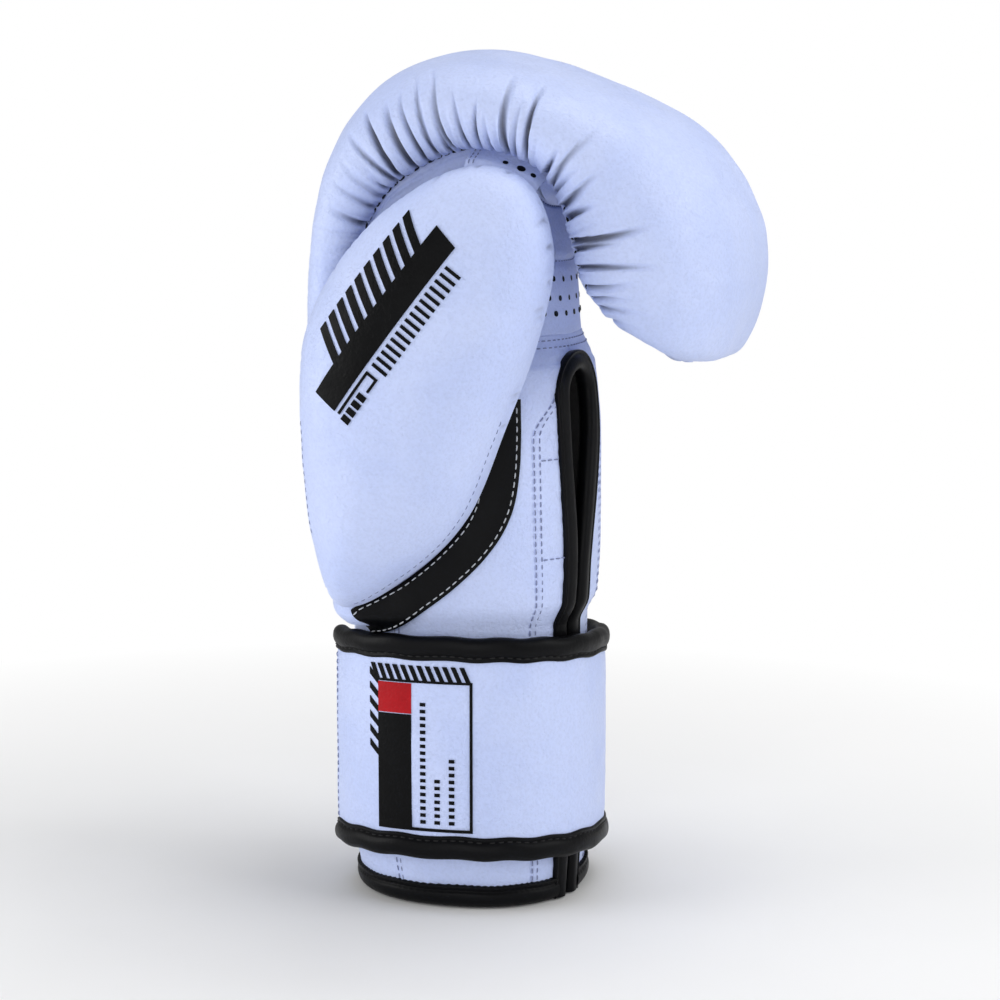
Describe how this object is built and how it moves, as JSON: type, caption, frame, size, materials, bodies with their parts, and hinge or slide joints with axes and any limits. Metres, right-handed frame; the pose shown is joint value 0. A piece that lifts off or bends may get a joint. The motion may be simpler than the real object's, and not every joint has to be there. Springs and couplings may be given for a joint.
{
  "type": "boxing glove",
  "caption": "Left-hand padded boxing glove with curled fingers, attached thumb, an opening down the palm side and a wrap-round hook-and-loop wrist strap.",
  "frame": {"origin": "underside of the cuff's hem, in the middle of its back: the point of mount hem_rest", "axes": "+Z along the forearm towards the knuckles, +X towards the palm and the curled fingers, -Y towards the thumb"},
  "size_m": [0.1525, 0.147, 0.2921],
  "materials": {
    "leather_white": "pebbled coated leather, cool white, soft satin sheen",
    "leather_black": "smooth coated leather, black, satin",
    "foam": "closed-cell foam, matt",
    "lining_black": "woven lining, matt",
    "loop_fabric": "brushed loop pile",
    "hook_plastic": "moulded hooks"
  },
  "bodies": {
    "hand": {"wrist_panel": "leather_white", "back_cuff_panel": "leather_white", "palm_panel": "leather_white", "back_shell": "leather_white", "side_gusset_thumb": "leather_white", "side_gusset_little_finger": "leather_white", "strap_anchor": "leather_white", "strap_anchor_lower_binding": "leather_black", "strap_anchor_upper_binding": "leather_black", "strap_base_patch": "leather_white", "thumb_lock_strap": "leather_white", "trim_band": "leather_black", "hem_binding": "leather_black", "slit_binding": "leather_black", "cuff_foam": "foam", "palm_foam": "foam", "back_foam": "foam", "hand_lining": "lining_black", "knuckle_lining": "lining_black", "slit_tongue": "lining_black", "grip_bar": "lining_black", "loop_patch": "loop_fabric"},
    "fingers": {"finger_shell": "leather_white", "finger_inner_panel": "leather_white", "finger_foam_inner": "foam", "finger_foam_outer": "foam", "finger_lining": "lining_black"},
    "thumb": {"thumb_outer_panel": "leather_white", "thumb_inner_panel": "leather_white", "thumb_foam": "foam", "thumb_lining": "lining_black"},
    "strap_palm": {"strap_link_palm": "leather_white", "strap_link_palm_lower_binding": "leather_black", "strap_link_palm_upper_binding": "leather_black"},
    "strap_thumb": {"strap_link_thumb": "leather_white", "strap_link_thumb_lower_binding": "leather_black", "strap_link_thumb_upper_binding": "leather_black"},
    "strap_end": {"strap_link_end": "leather_white", "strap_link_end_lower_binding": "leather_black", "strap_link_end_upper_binding": "leather_black", "hook_patch": "hook_plastic"}
  },
  "joints": [
    {"name": "fist_flex", "type": "hinge", "parent": "hand", "child": "fingers", "pos_m": [0.07785, 0, 0.2818], "axis": [0, -1, 0], "range_deg": [0, 12], "stiffness_Nm_per_rad": 0.5},
    {"name": "thumb_flex", "type": "hinge", "parent": "hand", "child": "thumb", "pos_m": [0.00335, -0.0456, 0.1065], "axis": [0.9262, 0, -0.3771], "range_deg": [0, 5], "stiffness_Nm_per_rad": 0.5},
    {"name": "strap_peel_palm", "type": "hinge", "parent": "hand", "child": "strap_palm", "pos_m": [0.07873, 0.01845, 0.06], "axis": [0, 0, 1], "range_deg": [0, 60]},
    {"name": "strap_peel_thumb", "type": "hinge", "parent": "strap_palm", "child": "strap_thumb", "pos_m": [0.06879, -0.0347, 0.06], "axis": [0, 0, 1], "range_deg": [0, 55]},
    {"name": "strap_peel_end", "type": "hinge", "parent": "strap_thumb", "child": "strap_end", "pos_m": [0.0229, -0.04628, 0.06], "axis": [0, 0, 1], "range_deg": [0, 50]}
  ]
}
